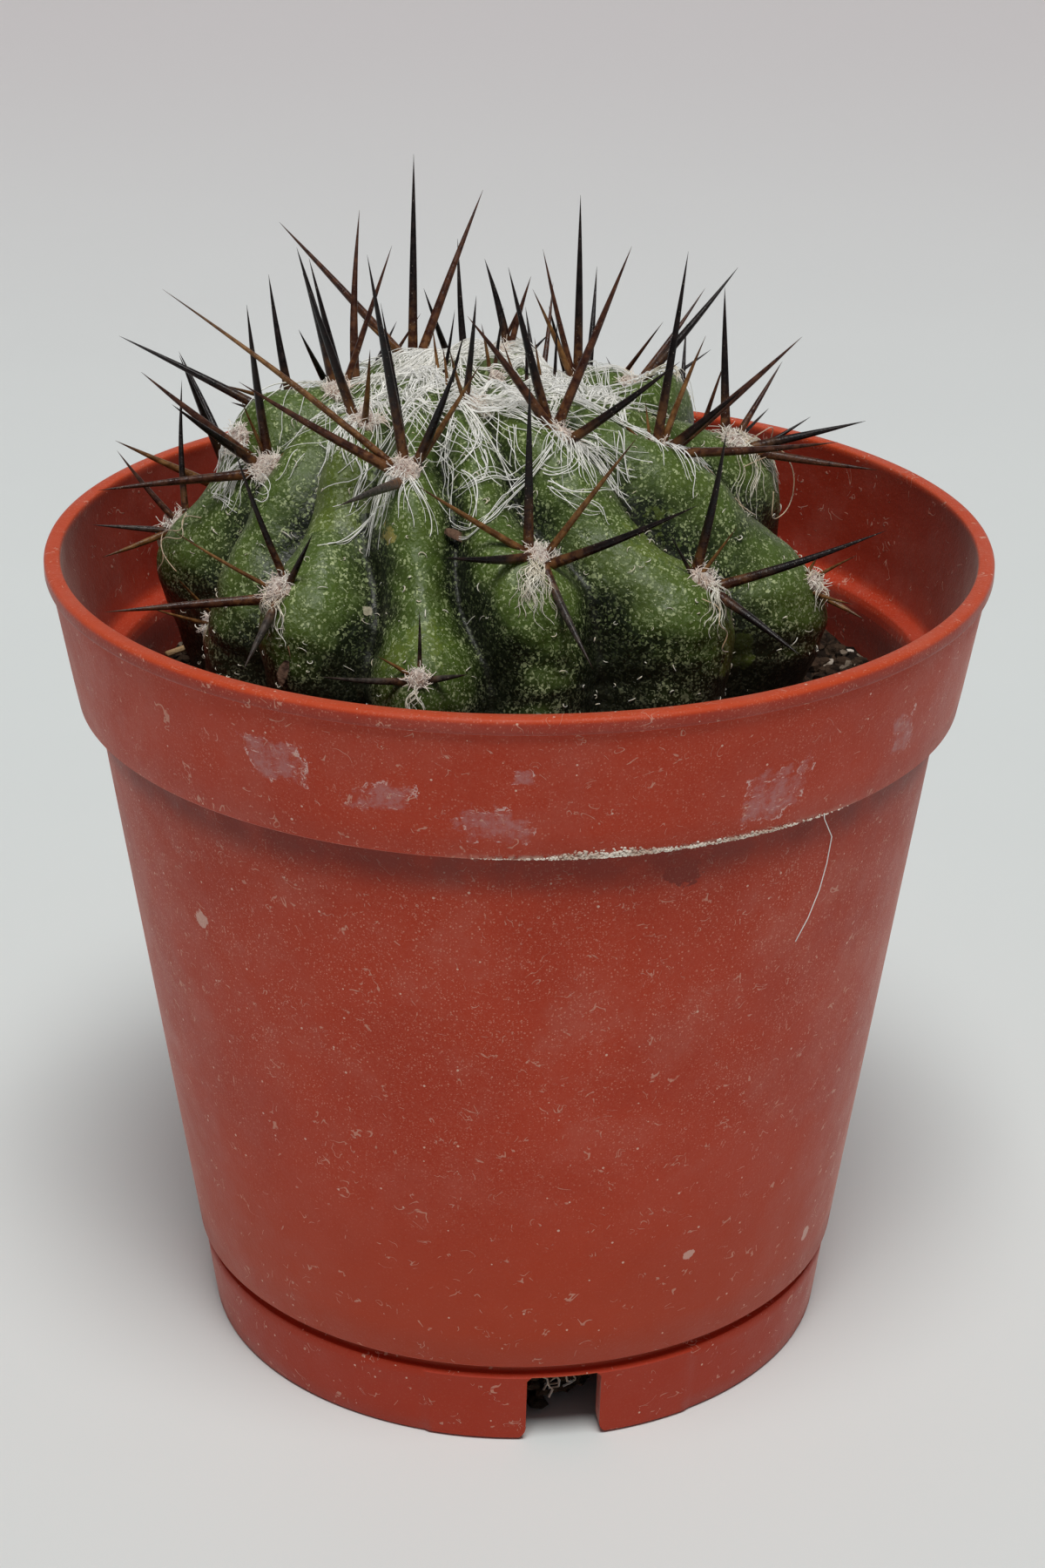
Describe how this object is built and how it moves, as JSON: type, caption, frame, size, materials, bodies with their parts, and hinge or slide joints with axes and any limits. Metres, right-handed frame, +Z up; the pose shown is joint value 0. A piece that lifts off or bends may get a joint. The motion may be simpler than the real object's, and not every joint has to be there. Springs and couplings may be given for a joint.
{
  "type": "potted round cactus",
  "caption": "Round ribbed cactus with long dark spines in a small tapered terracotta-coloured nursery pot.",
  "frame": {"origin": "middle of the pot's foot ring, on the surface it stands on", "axes": "+Z up along the pot's axis, -Y towards the front of the plant, +X to its right"},
  "size_m": [0.055, 0.055, 0.0696],
  "materials": {
    "pot_plastic": "matt, thin moulded terracotta-coloured plastic, dusty and scuffed",
    "potting_soil": null,
    "cactus_flesh": null
  },
  "bodies": {
    "root": {"pot": "pot_plastic", "soil": "potting_soil", "cactus": "cactus_flesh"}
  },
  "joints": []
}
